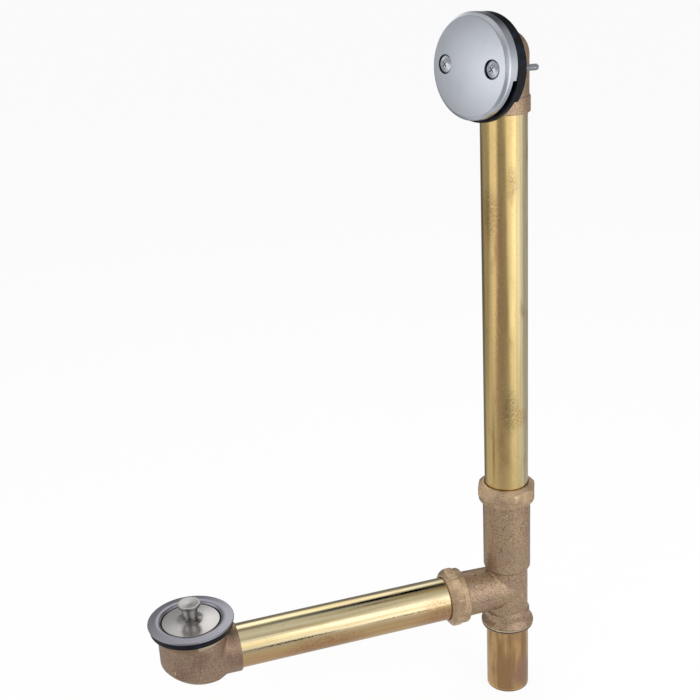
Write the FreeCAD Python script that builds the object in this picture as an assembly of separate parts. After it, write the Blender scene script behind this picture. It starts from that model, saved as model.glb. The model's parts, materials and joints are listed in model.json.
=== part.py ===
# Bath waste and overflow: a drain shoe and an overflow head joined by brass tubes and a tee.
# Millimetres, +Z up. The origin is the drain's centre on the underside of its flange, on the bath floor.
# The waste arm runs along +X to the riser, and the overflow head faces back over the bath.

import FreeCAD, Part
import math
import os

V = FreeCAD.Vector

# Layout
drain_to_riser = 291.0
seat_to_arm = 35.0
arm_to_outlet = 104.5
arm_to_overflow = 473.7
head_turn = 22.0
head_tilt = 5.5
plate_reach = 38.0

# Drawn tube, 20 gauge
tube_od = 38.1
tube_wall = 0.8

# Clearances, and how far a cut runs past a face
slip_gap = 0.15
thread_gap = 0.05
running_gap = 0.1
seat_gap = 0.3
screw_gap = 0.25
past = 1.0

# Edge roundings: machined, soft and cast
crisp = 0.4
soft = 0.8
cast_round = 1.4

# Slip nut and washer, along the nut from its crowned end
thread_wall = 2.9
nut_length = 17.0
nut_sides = 8
nut_flat_wall = 2.3
nut_corner_wall = 4.0
nut_lip_wall = 2.5
nut_lip_length = 6.5
nut_crown = 4.0
nut_crown_round = 3.0
nut_face_drop = 0.6
nut_end_wall = 2.6
nut_land = 2.0
washer_length = 3.8
washer_taper = 1.2
upper_nut_turn = -5.5
side_nut_turn = 22.5

# Waste tee, heights from the arm's axis
tee_top = 100.1
barrel_wall = 1.8
barrel_bottom = 23.5
barrel_stop = 34.0
tube_end_gap = 6.0
body_lip = 2.25
body_wall = 2.6
thread_chamfer = 1.2
branch_length = 55.6
branch_lip = 1.25
branch_wall = 3.2
branch_taper = 1.0
branch_root_length = 5.0
branch_socket = 14.0
tail_socket = 12.5
tail_shoulder = 0.6
tail_size_down = 0.25
bell_bottom = 39.3
bell_wall = 4.5
bell_height = 9.6
bell_lip = 4.4
bell_neck_step = 1.7
bell_neck_height = 6.2
bell_flare_round = 4.0
step_height = 1.7
bell_groove = 0.8
bell_groove_step = 0.3

# Overflow elbow
stop_lip = 0.85
collar_wall = 2.0
collar_length = 12.3
collar_drop = 40.1
elbow_wall = 2.8
throat_step = 0.8
elbow_crown_rise = 4.0
head_flange_wall = 5.0
head_flange = 4.0
lug_wall = 4.4
lug_length = 9.0
lug_web_step = 1.5

# Overflow gasket
gasket_rim = 1.0
gasket_front = 4.5
gasket_back = 4.3
gasket_sag = 1.1
gasket_cut_angle = 33.0

# Overflow face plate and its screws
plate_radius = 40.9
plate_edge = 2.8
plate_bevel = 2.4
plate_bevel_round = 2.4
plate_dome = 1.6
plate_shoulder = 1.2
plate_dome_round = 60.0
plate_depth = 10.8
plate_wall = 1.3
inlet_depth = 4.0
inlet_angle = 10.5
screw_spacing = 50.1
screw_radius = 3.1
screw_head_radius = 6.5
screw_head_rise = 1.7
screw_head_edge = 1.2
screw_crown_drop = 0.3
screw_crown_round = 6.0
screw_length = 50.9
screw_end_chamfer = 0.8
dimple_radius = 7.8
dimple_flare = 0.6
dimple_depth = 1.4
cross_length = 5.6
cross_width = 1.1
cross_depth = 1.9

# Drain shoe, depths from the seat
floor_gasket_thickness = 6.0
shoe_radius = 29.3
shoe_wall = 3.8
shoe_band_step = 0.6
shoe_band = 7.4
shoe_groove = 0.7
bowl_sink = 0.7
bowl_offset = 6.2
bowl_rise = 20.4
bowl_round = 3.0
outlet_wall = 2.0
outlet_reach = 37.5
outlet_socket = 13.0

# Shoe gasket and strainer body
floor_gasket_radius = 35.0
flange_radius = 36.5
flange_edge = 1.4
flange_crest = 2.3
flange_crest_radius = 29.5
flange_crest_round = 8.0
flange_roll = 1.6
flange_roll_drop = 0.3
flange_roll_round = 1.5
flange_mouth = 0.4
recess_radius = 25.5
recess_depth = 3.9
hub_wall = 1.8
hub_floor = 1.4
spud_wall = 3.3
spud_bore = 20.5
spud_length = 19.0
crossbar_drop = 10.5
crossbar_height = 3.5
crossbar_width = 3.4
crossbar_count = 4
crossbar_turn = 45.0
crossbar_root = 0.5
boss_wall = 2.6
boss_height = 7.5

# Stopper: post, cross pin, sleeve, seal, cap and knob
post_thread_radius = 4.0
post_chamfer = 0.5
post_radius = 3.2
post_top = 0.9
post_slot_width = 1.0
post_slot_depth = 0.5
pin_radius = 1.0
pin_reach = 1.7
pin_drop = 2.5
pin_clearance = 0.25
chamber_gap = 0.5
ledge_thickness = 2.5
ledge_bottom = 9.2
sleeve_wall = 2.8
sleeve_flange_reach = 5.3
sleeve_flange = 1.4
sleeve_thread_wall = 1.6
sleeve_thread = 1.6
seal_gap = 1.0
seal_thickness = 2.0
cap_gap = 0.9
cap_edge = 1.6
cap_cone_radius = 11.0
cap_cone_rise = 1.3
cap_cone_round = 7.0
neck_radius = 6.0
neck_top = 4.0
neck_round = 2.5
knob_stud_radius = 3.0
knob_stud = 2.4
knob_stem_radius = 7.3
knob_stem_top = 13.5
knob_bead_radius = 9.2
knob_bead_bottom = 14.7
knob_bead_top = 16.0
knob_radius = 9.65
knob_top = 17.5
knob_land = 1.6
knob_dish = 0.6

# Values that follow
tube_radius = tube_od / 2
tube_bore = tube_radius - tube_wall
socket_radius = tube_radius + slip_gap
arm_z = -seat_to_arm
slip_thread_radius = socket_radius + thread_wall
nut_corner_radius = slip_thread_radius + nut_corner_wall
nut_lip_radius = slip_thread_radius + nut_lip_wall
washer_outer = slip_thread_radius - thread_gap
nut_seat = nut_end_wall + washer_length
barrel_radius = socket_radius + barrel_wall
body_bore = tube_bore - body_lip
body_radius = body_bore + body_wall
branch_bore = tube_bore - branch_lip
branch_radius = branch_bore + branch_wall
bell_radius = socket_radius + bell_wall
collar_radius = socket_radius + collar_wall
elbow_bore = tube_bore - stop_lip
elbow_radius = elbow_bore + elbow_wall
head_flange_radius = elbow_radius + head_flange_wall
lug_radius = screw_radius + lug_wall
overflow_z = arm_z + arm_to_overflow
plate_face_radius = plate_radius - plate_edge
gasket_radius = plate_radius + gasket_rim
elbow_face = plate_depth + gasket_front + gasket_back
shoe_top = floor_gasket_thickness
outlet_radius = socket_radius + outlet_wall
outlet_bore = tube_bore - stop_lip
bowl_bottom = arm_z - outlet_radius - bowl_sink
bowl_radius = ((shoe_radius + bowl_offset) ** 2 + bowl_rise ** 2) / (2 * bowl_rise)
spud_radius = spud_bore + spud_wall
hub_radius = recess_radius + hub_wall
boss_radius = post_thread_radius + boss_wall
pin_length = 2 * (post_radius + pin_reach)
cap_under = -recess_depth + seat_gap + seal_thickness + seat_gap
cap_radius = recess_radius - cap_gap
seal_radius = recess_radius - seal_gap
sleeve_shelf = -recess_depth
sleeve_chamber = pin_length / 2 + chamber_gap
sleeve_radius = sleeve_chamber + sleeve_wall
sleeve_flange_radius = sleeve_radius + sleeve_flange_reach
sleeve_thread_radius = sleeve_chamber + sleeve_thread_wall


def outline(corners):
    """A face in the XZ plane. Each corner is (x, z) or (x, z, rounding radius)."""
    count = len(corners)
    points = [V(c[0], 0, c[1]) for c in corners]
    starts = []
    ends = []
    middles = []
    for i in range(count):
        here = points[i]
        back = points[i - 1] - here
        ahead = points[(i + 1) % count] - here
        radius = corners[i][2] if len(corners[i]) > 2 else 0
        if radius == 0:
            starts.append(here)
            ends.append(here)
            middles.append(None)
            continue
        half = back.getAngle(ahead) / 2
        longest = 0.49 * min(back.Length, ahead.Length)
        reach = min(radius / math.tan(half), longest)
        radius = reach * math.tan(half)
        back.normalize()
        ahead.normalize()
        inward = (back + ahead).normalize()
        starts.append(here + back * reach)
        ends.append(here + ahead * reach)
        middles.append(here + inward * (radius / math.sin(half) - radius))
    edges = []
    for i in range(count):
        if middles[i] is not None:
            edges.append(Part.Arc(starts[i], middles[i], ends[i]).toShape())
        edges.append(Part.LineSegment(ends[i], starts[(i + 1) % count]).toShape())
    return Part.Face(Part.Wire(edges))


def turned(corners):
    """A solid turned about the Z axis from its half section."""
    return outline(corners).revolve(V(0, 0, 0), V(0, 0, 1), 360)


def rod(radius, low, high):
    """A cylinder on the Z axis between two heights."""
    return Part.makeCylinder(radius, high - low, V(0, 0, low), V(0, 0, 1))


def pipe(outer, inner, low, high):
    """A plain tube on the Z axis between two heights."""
    return rod(outer, low, high).cut(rod(inner, low - past, high + past))


def block(width, depth, low, high):
    """A box centred on the Z axis between two heights."""
    return Part.makeBox(width, depth, high - low, V(-width / 2, -depth / 2, low))


def spun(shape, angle):
    """A copy turned about the Z axis."""
    copy = shape.copy()
    copy.rotate(V(0, 0, 0), V(0, 0, 1), angle)
    return copy


def along_arm(shape, x):
    """Lay a shape that was made on the Z axis along the waste arm, its +Z towards the riser."""
    turn = FreeCAD.Rotation(V(0, 1, 0), 90)
    moved = shape.copy()
    moved.Placement = FreeCAD.Placement(V(x, 0, arm_z), turn).multiply(moved.Placement)
    return moved


def on_riser(shape, z):
    """Move a shape that was made on the Z axis to the riser, its zero at a height above the arm's axis."""
    return shape.translated(V(drain_to_riser, 0, arm_z + z))


def on_head(shape):
    """Move a shape from the overflow head's own frame: zero at the plate's front, +Z out, +Y up."""
    lean = FreeCAD.Rotation(V(1, 0, 0), 90 - head_tilt)
    turn = FreeCAD.Rotation(V(0, 0, 1), head_turn - 90).multiply(lean)
    angle = math.radians(head_turn)
    centre = V(drain_to_riser - plate_reach * math.cos(angle), -plate_reach * math.sin(angle), overflow_z)
    moved = shape.copy()
    moved.Placement = FreeCAD.Placement(centre, turn).multiply(moved.Placement)
    return moved


def at_screw(shape, side):
    """Move a shape in the head's frame to the left (-1) or right (1) screw."""
    return shape.translated(V(side * screw_spacing / 2, 0, 0))


def slip_nut():
    """Slip nut on the Z axis, crowned end at zero, open end up."""
    lip_start = nut_length - nut_lip_length
    blank = turned([
        (0, 0),
        (tube_radius + nut_land, 0, nut_face_drop),
        (nut_corner_radius, nut_crown, nut_crown_round),
        (nut_corner_radius, lip_start, soft),
        (nut_lip_radius, lip_start + soft, crisp),
        (nut_lip_radius, nut_length, cast_round),
        (0, nut_length),
    ])
    step = 360 / nut_sides
    corner = (slip_thread_radius + nut_flat_wall) / math.cos(math.radians(step / 2))
    angles = [math.radians(step * i) for i in range(nut_sides + 1)]
    corners = [V(corner * math.cos(a), corner * math.sin(a), 0) for a in angles]
    flats = Part.Face(Part.makePolygon(corners)).extrude(V(0, 0, lip_start + soft))
    lip = rod(nut_lip_radius, lip_start, nut_length + past)
    hollow = turned([
        (0, -past),
        (socket_radius, -past),
        (socket_radius, nut_end_wall),
        (slip_thread_radius, nut_end_wall),
        (slip_thread_radius, nut_length + past),
        (0, nut_length + past),
    ])
    return blank.common(flats.fuse(lip)).cut(hollow)


def slip_washer():
    """Tapered slip-joint washer, seated in the nut's end."""
    return turned([
        (tube_radius, nut_end_wall),
        (washer_outer, nut_end_wall),
        (washer_outer, nut_seat - washer_taper),
        (washer_outer - washer_taper, nut_seat),
        (tube_radius, nut_seat),
    ])


def upper_set(shape):
    """Put a nut or washer on the tee's top, open end down."""
    flipped = shape.copy()
    flipped.rotate(V(0, 0, 0), V(1, 0, 0), 180)
    return on_riser(spun(flipped, upper_nut_turn), tee_top + nut_seat)


def side_set(shape):
    """Put a nut or washer on the tee's branch, open end towards the riser."""
    return along_arm(spun(shape, side_nut_turn), drain_to_riser - branch_length - nut_seat)


def waste_tee():
    """Cast tee: riser socket on top, arm socket at the side, tailpiece socket in the bell below."""
    thread_low = tee_top + nut_seat - nut_length
    bell_top = bell_height - bell_bottom
    neck_wide = body_radius + bell_neck_step
    neck_high = bell_top + bell_neck_height
    rim_radius = bell_radius - bell_groove_step
    lip_top = bell_lip - bell_bottom
    lip_middle = bell_lip / 2 - bell_bottom
    run = turned([
        (0, -bell_bottom),
        (rim_radius, -bell_bottom, soft),
        (rim_radius, lip_middle - bell_groove / 2),
        (rim_radius - bell_groove, lip_middle),
        (bell_radius, lip_middle + bell_groove / 2),
        (bell_radius, lip_top, soft),
        (neck_wide, bell_top, bell_flare_round),
        (neck_wide, neck_high, soft),
        (body_radius, neck_high + step_height, soft),
        (body_radius, barrel_bottom - 2 * step_height, soft),
        (barrel_radius, barrel_bottom - step_height / 2, cast_round),
        (barrel_radius, thread_low, crisp),
        (washer_outer, thread_low + thread_chamfer),
        (washer_outer, tee_top, crisp),
        (0, tee_top),
    ])
    thread_start = branch_length + nut_seat - nut_length
    root_radius = branch_radius - branch_taper
    branch = turned([
        (0, branch_length),
        (washer_outer, branch_length, crisp),
        (washer_outer, thread_start + thread_chamfer),
        (branch_radius, thread_start, crisp),
        (root_radius, 0, cast_round),
        (root_radius - cast_round, -branch_root_length, soft),
        (0, -branch_root_length),
    ])
    branch_in = turned([
        (0, branch_length + past),
        (socket_radius, branch_length + past),
        (socket_radius, branch_length - branch_socket),
        (branch_bore, branch_length - branch_socket),
        (branch_bore, body_bore),
        (body_bore, 0),
        (0, 0),
    ])
    to_side = FreeCAD.Placement(V(0, 0, 0), FreeCAD.Rotation(V(0, 1, 0), -90))
    branch.Placement = to_side
    branch_in.Placement = to_side
    run_in = turned([
        (0, -bell_bottom - past),
        (socket_radius, -bell_bottom - past),
        (socket_radius, tail_socket - bell_bottom),
        (body_bore, tail_socket - bell_bottom),
        (body_bore, barrel_stop),
        (socket_radius, barrel_stop),
        (socket_radius, tee_top + past),
        (0, tee_top + past),
    ])
    return on_riser(run.fuse(branch).cut(run_in).cut(branch_in).Solids[0], 0)


def overflow_tube():
    """Riser tube, from above the tee's stop to the elbow's stop."""
    low = barrel_stop + tube_end_gap
    high = arm_to_overflow - collar_drop + collar_length
    return on_riser(pipe(tube_radius, tube_bore, low, high), 0)


def waste_arm():
    """Horizontal tube from the shoe's socket to the tee's branch."""
    low = outlet_reach - outlet_socket
    high = drain_to_riser - branch_length + branch_socket
    return along_arm(pipe(tube_radius, tube_bore, low, high), 0)


def tailpiece():
    """Tube that runs down to the trap, sized down a little where it enters the bell."""
    spigot_radius = tube_radius - tail_size_down
    shoulder = -bell_bottom - tail_shoulder
    top = tail_socket - bell_bottom
    wall = turned([
        (tube_bore, -arm_to_outlet),
        (tube_radius, -arm_to_outlet),
        (tube_radius, shoulder),
        (spigot_radius, shoulder),
        (spigot_radius, top),
        (tube_bore, top),
    ])
    return on_riser(wall, 0)


def overflow_elbow():
    """Cast elbow: collar on the riser, crown, throat towards the bath, flange with two lugs."""
    collar_low = arm_to_overflow - collar_drop
    collar_high = collar_low + collar_length
    crown = arm_to_overflow + elbow_crown_rise
    post = turned([
        (0, collar_low),
        (collar_radius, collar_low, soft),
        (collar_radius, collar_high, cast_round),
        (elbow_radius, collar_high + cast_round, soft),
        (elbow_radius, crown),
        (0, crown),
    ])
    outside = on_riser(post, 0).fuse(on_riser(Part.makeSphere(elbow_radius, V(0, 0, crown)), 0))
    throat_length = plate_reach / math.cos(math.radians(head_tilt))
    throat = rod(elbow_radius - throat_step, -throat_length, -elbow_face)
    flange = rod(head_flange_radius, -elbow_face - head_flange, -elbow_face)
    outside = outside.fuse(on_head(throat.fuse(flange)))
    outside = outside.cut(on_head(rod(gasket_radius, -elbow_face, 0)))
    holes = []
    for side in (-1, 1):
        lug = at_screw(rod(lug_radius, -elbow_face - lug_length, -elbow_face), side)
        web_width = 2 * (lug_radius - lug_web_step)
        web = block(screw_spacing / 2, web_width, -elbow_face - head_flange, -elbow_face)
        outside = outside.fuse(on_head(lug.fuse(at_screw(web, side / 2))))
        hole = rod(screw_radius, -elbow_face - lug_length - past, past - elbow_face)
        holes.append(on_head(at_screw(hole, side)))
    riser_in = turned([
        (0, collar_low - past),
        (socket_radius, collar_low - past),
        (socket_radius, collar_high),
        (elbow_bore, collar_high),
        (elbow_bore, crown),
        (0, crown),
    ])
    inside = on_riser(riser_in, 0).fuse(on_riser(Part.makeSphere(elbow_bore, V(0, 0, crown)), 0))
    inside = inside.fuse(on_head(rod(elbow_bore - throat_step, -throat_length, past - elbow_face)))
    elbow = outside.cut(inside)
    for hole in holes:
        elbow = elbow.cut(hole)
    return elbow.Solids[0]


def sector(radius, low, high, angle):
    """The lower part of a disc, below a line on each side that drops by an angle from level."""
    reach = 2 * radius
    x = reach * math.cos(math.radians(angle))
    y = -reach * math.sin(math.radians(angle))
    points = [V(0, 0, low), V(x, y, low), V(x, -reach, low), V(-x, -reach, low), V(-x, y, low), V(0, 0, low)]
    return Part.Face(Part.makePolygon(points)).extrude(V(0, 0, high - low))


def overflow_gasket():
    """Rubber gasket that hangs a little low: full front disc, back part cut away below."""
    back = -elbow_face
    step = -plate_depth - gasket_front
    disc = turned([
        (0, back),
        (gasket_radius, back, soft),
        (gasket_radius, -plate_depth, soft),
        (0, -plate_depth),
    ])
    cut = sector(gasket_radius, back - past, step, gasket_cut_angle)
    disc = disc.cut(cut.cut(rod(head_flange_radius, back - 2 * past, 0)))
    gasket = disc.translated(V(0, -gasket_sag, 0)).cut(rod(elbow_radius, back - past, 0))
    for side in (-1, 1):
        gasket = gasket.cut(at_screw(rod(screw_radius + slip_gap, back - past, 0), side))
    return on_head(gasket)


def face_plate():
    """Dished face plate: domed front, bevel, skirt, inlet slot round the lower half, two dimples."""
    outer = turned([
        (0, -plate_depth),
        (plate_radius, -plate_depth, crisp),
        (plate_radius, -plate_bevel, plate_bevel_round),
        (plate_face_radius, 0, plate_bevel_round),
        (plate_face_radius / 2, plate_shoulder, plate_dome_round),
        (0, plate_dome),
    ])
    inner = turned([
        (0, -plate_depth - past),
        (plate_radius - plate_wall, -plate_depth - past),
        (plate_radius - plate_wall, -plate_bevel - plate_wall / 2, soft),
        (plate_face_radius - plate_wall / 2, -plate_wall, soft),
        (plate_face_radius / 2, plate_shoulder - plate_wall, plate_dome_round),
        (0, plate_dome - plate_wall),
    ])
    inlet = sector(plate_radius, -plate_depth - past, inlet_depth - plate_depth, inlet_angle)
    cup_radius = dimple_radius + plate_wall
    cup_low = -dimple_depth - plate_wall
    plate = outer
    hollow = inner
    for side in (-1, 1):
        hollow = hollow.cut(at_screw(rod(cup_radius, cup_low, plate_dome + past), side))
    plate = plate.cut(hollow).cut(inlet)
    for side in (-1, 1):
        dimple = turned([
            (0, -dimple_depth),
            (dimple_radius - dimple_flare, -dimple_depth, crisp),
            (dimple_radius, plate_dome + past),
            (0, plate_dome + past),
        ])
        hole = rod(screw_radius + screw_gap, -plate_depth, plate_dome)
        plate = plate.cut(at_screw(dimple, side)).cut(at_screw(hole, side))
    return on_head(plate.removeSplitter())


def plate_screw(side):
    """Long face-plate screw with an oval head and a cross recess, in the left (-1) or right (1) hole."""
    seat = -dimple_depth
    low = screw_head_rise - screw_length
    screw = turned([
        (0, low),
        (screw_radius - screw_end_chamfer, low),
        (screw_radius, low + screw_end_chamfer),
        (screw_radius, seat),
        (screw_head_radius, seat, crisp),
        (screw_head_radius, seat + screw_head_edge, soft),
        (screw_head_radius / 2, screw_head_rise - screw_crown_drop, screw_crown_round),
        (0, screw_head_rise),
    ])
    slot = block(cross_length, cross_width, screw_head_rise - cross_depth, screw_head_rise + past)
    for turn in (45, 135):
        screw = screw.cut(spun(slot, turn))
    return on_head(at_screw(screw, side))


def bowl(radius, wall):
    """A round cup whose floor is part of a sphere, lowest on the side of the outlet."""
    wide = radius - wall
    floor = Part.makeSphere(bowl_radius - wall, V(bowl_offset, 0, bowl_bottom + bowl_radius))
    return rod(wide, bowl_bottom, -shoe_top).common(floor)


def drain_shoe():
    """Cast shoe: threaded top, machined band, round bottom and an outlet socket towards the riser."""
    band_low = -shoe_top - shoe_band
    groove_radius = shoe_radius - shoe_groove
    cup = bowl(shoe_radius, 0)
    rims = [e for e in cup.Edges if e.BoundBox.XLength > shoe_radius and e.BoundBox.ZMax < -shoe_top - past]
    cup = cup.makeFillet(bowl_round, rims)
    band = turned([
        (0, band_low - 2 * shoe_groove),
        (shoe_radius, band_low - 2 * shoe_groove),
        (groove_radius, band_low - shoe_groove),
        (shoe_radius + shoe_band_step, band_low, crisp),
        (shoe_radius + shoe_band_step, -shoe_top, crisp),
        (0, -shoe_top),
    ])
    cup = cup.cut(rod(shoe_radius + past, band_low - 2 * shoe_groove, 0)).fuse(band)
    outlet = turned([
        (0, 0),
        (outlet_radius, 0),
        (outlet_radius, outlet_reach, soft),
        (0, outlet_reach),
    ])
    thread_radius = spud_radius + thread_gap
    thread = rod(thread_radius, -spud_length - past, past - shoe_top)
    hollow = bowl(shoe_radius, shoe_wall).cut(rod(shoe_radius, -spud_length - past, 0)).fuse(thread)
    outlet_in = turned([
        (0, 0),
        (outlet_bore, 0),
        (outlet_bore, outlet_reach - outlet_socket),
        (socket_radius, outlet_reach - outlet_socket),
        (socket_radius, outlet_reach + past),
        (0, outlet_reach + past),
    ])
    shoe = cup.fuse(along_arm(outlet, 0)).cut(hollow).cut(along_arm(outlet_in, 0))
    return shoe.removeSplitter()


def shoe_gasket():
    """Rubber ring between the flange and the shoe; the bath floor goes on top of it."""
    return turned([
        (hub_radius + slip_gap, -shoe_top),
        (floor_gasket_radius, -shoe_top, soft),
        (floor_gasket_radius, 0, soft),
        (hub_radius + slip_gap, 0),
    ])


def strainer_body():
    """Drain flange and threaded spud in one piece, with crossbars and a threaded boss."""
    hub_low = -recess_depth - hub_floor
    shell = turned([
        (flange_radius, 0, crisp),
        (flange_radius, flange_edge, soft),
        (flange_crest_radius, flange_crest, flange_crest_round),
        (recess_radius + flange_roll, flange_crest - flange_roll_drop, flange_roll_round),
        (recess_radius, flange_mouth, soft),
        (recess_radius, -recess_depth),
        (spud_bore, -recess_depth, crisp),
        (spud_bore, -spud_length),
        (spud_radius, -spud_length, soft),
        (spud_radius, hub_low),
        (hub_radius, hub_low, crisp),
        (hub_radius, 0),
    ])
    low = -crossbar_drop - crossbar_height
    boss_low = -crossbar_drop - boss_height
    bars = rod(boss_radius, boss_low, -crossbar_drop)
    bar_length = spud_bore + crossbar_root
    bar = Part.makeBox(bar_length, crossbar_width, crossbar_height, V(0, -crossbar_width / 2, low))
    for i in range(crossbar_count):
        bars = bars.fuse(spun(bar, 360 * i / crossbar_count + crossbar_turn))
    hole = rod(post_thread_radius, boss_low - past, 0)
    return shell.fuse(bars).cut(hole).removeSplitter()


def pin_rod(length):
    """A rod of the cross pin's size and place."""
    return Part.makeCylinder(pin_radius, length, V(-length / 2, 0, -pin_drop), V(1, 0, 0))


def stopper_post():
    """Stud screwed into the crossbars' boss, drilled for the cross pin and slotted on top."""
    low = -crossbar_drop - boss_height
    post = turned([
        (0, low),
        (post_thread_radius - post_chamfer, low),
        (post_thread_radius, low + post_chamfer),
        (post_thread_radius, -crossbar_drop),
        (post_radius, -crossbar_drop),
        (post_radius, -post_top, crisp),
        (0, -post_top),
    ])
    slot = block(post_slot_width, 3 * post_radius, -post_top - post_slot_depth, past)
    return post.cut(slot).cut(pin_rod(3 * post_radius))


def stopper_sleeve():
    """Guide under the cap: keyhole ledge below, chamber for the cross pin, flange that holds the seal."""
    ledge_low = -ledge_bottom
    ledge_top = ledge_thickness - ledge_bottom
    flange_low = sleeve_shelf - sleeve_flange
    top = cap_under + sleeve_thread
    body = turned([
        (0, ledge_low),
        (sleeve_radius, ledge_low, crisp),
        (sleeve_radius, flange_low),
        (sleeve_flange_radius, flange_low, crisp),
        (sleeve_flange_radius, sleeve_shelf, crisp),
        (sleeve_radius, sleeve_shelf),
        (sleeve_radius, cap_under),
        (sleeve_thread_radius, cap_under),
        (sleeve_thread_radius, top),
        (0, top),
    ])
    chamber = rod(sleeve_chamber, ledge_top, top + past)
    keyhole = rod(post_radius + running_gap, ledge_low - past, ledge_top + past)
    keyway = block(2 * sleeve_chamber, 2 * (pin_radius + pin_clearance), ledge_low - past, ledge_top + past)
    return body.cut(chamber).cut(keyhole).cut(keyway)


def stopper_seal():
    """Rubber ring that closes the drain, held between the cap and the sleeve's flange."""
    low = seat_gap - recess_depth
    return turned([
        (sleeve_radius + seat_gap, low),
        (seal_radius, low, crisp),
        (seal_radius, low + seal_thickness, crisp),
        (sleeve_radius + seat_gap, low + seal_thickness),
    ])


def stopper_cap():
    """Turned cap that rises in a shallow cone and flares up to its neck."""
    edge_top = cap_under + cap_edge
    cap = turned([
        (0, cap_under),
        (cap_radius, cap_under, crisp),
        (cap_radius, edge_top, crisp),
        (cap_cone_radius, edge_top + cap_cone_rise, cap_cone_round),
        (neck_radius, neck_top - crisp, neck_round),
        (neck_radius, neck_top),
        (0, neck_top),
    ])
    socket = rod(sleeve_thread_radius, cap_under - past, cap_under + sleeve_thread)
    stud_hole = rod(knob_stud_radius, neck_top - knob_stud, neck_top + past)
    return cap.cut(socket).cut(stud_hole)


def stopper_knob():
    """Turned knob on a waisted stem, with a beaded edge and a dished top."""
    return turned([
        (0, neck_top - knob_stud),
        (knob_stud_radius, neck_top - knob_stud),
        (knob_stud_radius, neck_top),
        (neck_radius, neck_top),
        (knob_stem_radius, knob_stem_top, soft),
        (knob_bead_radius, knob_bead_bottom, crisp),
        (knob_bead_radius, knob_bead_top - crisp / 2),
        (knob_radius, knob_bead_top),
        (knob_radius, knob_top, crisp),
        (knob_radius - knob_land, knob_top, soft),
        (0, knob_top - knob_dish),
    ])


def export(name, shape):
    """Write one solid to its file."""
    shape.exportStep("parts/" + name + ".step")


os.makedirs("parts", exist_ok=True)
export("waste_tee", waste_tee())
export("upper_slip_nut", upper_set(slip_nut()))
export("upper_slip_washer", upper_set(slip_washer()))
export("side_slip_nut", side_set(slip_nut()))
export("side_slip_washer", side_set(slip_washer()))
export("overflow_tube", overflow_tube())
export("waste_arm", waste_arm())
export("tailpiece", tailpiece())
export("overflow_elbow", overflow_elbow())
export("overflow_gasket", overflow_gasket())
export("overflow_face_plate", face_plate())
export("face_plate_screw_left", plate_screw(-1))
export("face_plate_screw_right", plate_screw(1))
export("drain_shoe", drain_shoe())
export("shoe_gasket", shoe_gasket())
export("strainer_body", strainer_body())
export("stopper_post", stopper_post())
export("stopper_cross_pin", pin_rod(pin_length))
export("stopper_sleeve", stopper_sleeve())
export("stopper_seal", stopper_seal())
export("stopper_cap", stopper_cap())
export("stopper_knob", stopper_knob())
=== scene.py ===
"""Bath waste and overflow: the looks of its pieces, and a plain studio round it.

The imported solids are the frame, in metres: +Z up, the drain's centre at the origin, the waste arm along +X.
"""

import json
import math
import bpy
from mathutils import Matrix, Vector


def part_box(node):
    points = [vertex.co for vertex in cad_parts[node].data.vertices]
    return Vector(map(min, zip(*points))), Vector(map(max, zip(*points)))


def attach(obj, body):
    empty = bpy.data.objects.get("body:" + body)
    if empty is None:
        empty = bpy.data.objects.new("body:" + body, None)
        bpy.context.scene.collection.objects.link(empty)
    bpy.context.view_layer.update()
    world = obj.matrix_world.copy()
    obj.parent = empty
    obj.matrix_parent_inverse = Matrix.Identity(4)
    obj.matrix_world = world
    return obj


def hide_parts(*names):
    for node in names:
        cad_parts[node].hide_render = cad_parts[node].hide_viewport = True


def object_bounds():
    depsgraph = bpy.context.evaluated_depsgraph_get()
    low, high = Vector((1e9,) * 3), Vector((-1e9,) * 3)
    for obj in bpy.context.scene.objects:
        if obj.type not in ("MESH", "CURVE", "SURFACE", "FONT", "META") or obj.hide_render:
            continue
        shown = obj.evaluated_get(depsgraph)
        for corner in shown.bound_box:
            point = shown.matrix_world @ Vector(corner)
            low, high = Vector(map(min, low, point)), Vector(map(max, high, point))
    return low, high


bl_info = {
    "name": "Bath waste and overflow",
    "version": (1, 0, 0),
    "blender": (4, 5, 0),
    "location": "View3D > Sidebar > Bath waste",
    "description": "Finishes a bath waste and overflow, and sets a plain studio round it",
    "category": "Object",
}

import bpy
from mathutils import Matrix, Vector

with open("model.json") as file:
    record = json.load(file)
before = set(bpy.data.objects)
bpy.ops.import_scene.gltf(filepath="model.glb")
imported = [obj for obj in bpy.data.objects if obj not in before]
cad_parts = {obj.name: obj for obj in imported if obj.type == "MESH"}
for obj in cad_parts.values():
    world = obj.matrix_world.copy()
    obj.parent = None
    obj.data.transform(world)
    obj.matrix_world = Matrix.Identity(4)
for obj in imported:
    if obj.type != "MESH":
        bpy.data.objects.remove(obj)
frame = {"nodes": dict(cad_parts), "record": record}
CAD_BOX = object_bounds()
NODES = frame["nodes"]
BODY_OF = {node: body for body, nodes in frame["record"]["behaviour"]["bodies"].items() for node in nodes}

MM = 0.001
RISER_X = sum(corner.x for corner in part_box("overflow_tube")) / 2
ARM_Z = sum(corner.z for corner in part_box("waste_arm")) / 2
FLOOR_Z = CAD_BOX[0].z

# The overflow head's own axes: out of the plate's face, up along it, and to its right
HEAD_CENTRE = Vector((0.255767, -0.014235, 0.4387))
HEAD_OUT = Vector((-0.92292, -0.37288, 0.09585)).normalized()
HEAD_UP = Vector((0.08887, 0.03590, 0.99540)).normalized()
HEAD_RIGHT = HEAD_UP.cross(HEAD_OUT)


def linear(code):
    """Turn an sRGB hex colour into linear red, green and blue."""
    parts = [int(code[i:i + 2], 16) / 255 for i in (1, 3, 5)]
    return tuple(v / 12.92 if v <= 0.04045 else ((v + 0.055) / 1.055) ** 2.4 for v in parts)


# ---------------------------------------------------------------- settings


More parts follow.
